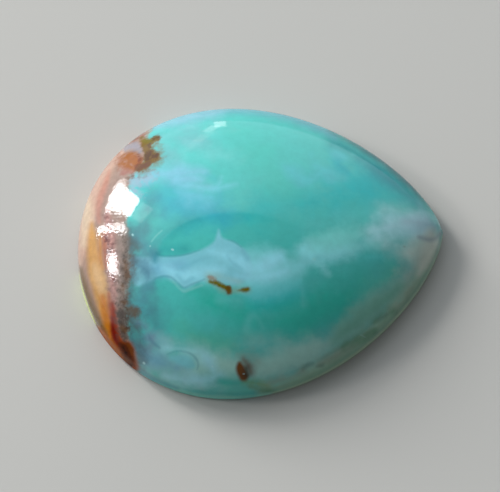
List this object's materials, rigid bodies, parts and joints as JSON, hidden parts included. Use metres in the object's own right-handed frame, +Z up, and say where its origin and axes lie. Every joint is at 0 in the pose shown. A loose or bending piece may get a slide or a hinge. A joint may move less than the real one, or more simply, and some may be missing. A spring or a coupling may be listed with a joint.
{
  "type": "gem silica cabochon",
  "caption": "Pear-shaped polished cabochon of blue-green gem silica with brown matrix at its round end, a smooth dome on a flat base.",
  "frame": {"origin": "middle of the flat base, on the surface that the stone rests on", "axes": "+X along the stone from its round matrix end to its tip, +Y across it, +Z up out of the dome's crown"},
  "size_m": [0.032, 0.027, 0.007],
  "materials": {
    "gem_silica": "polished"
  },
  "bodies": {
    "root": {"cabochon": "gem_silica"}
  },
  "joints": []
}
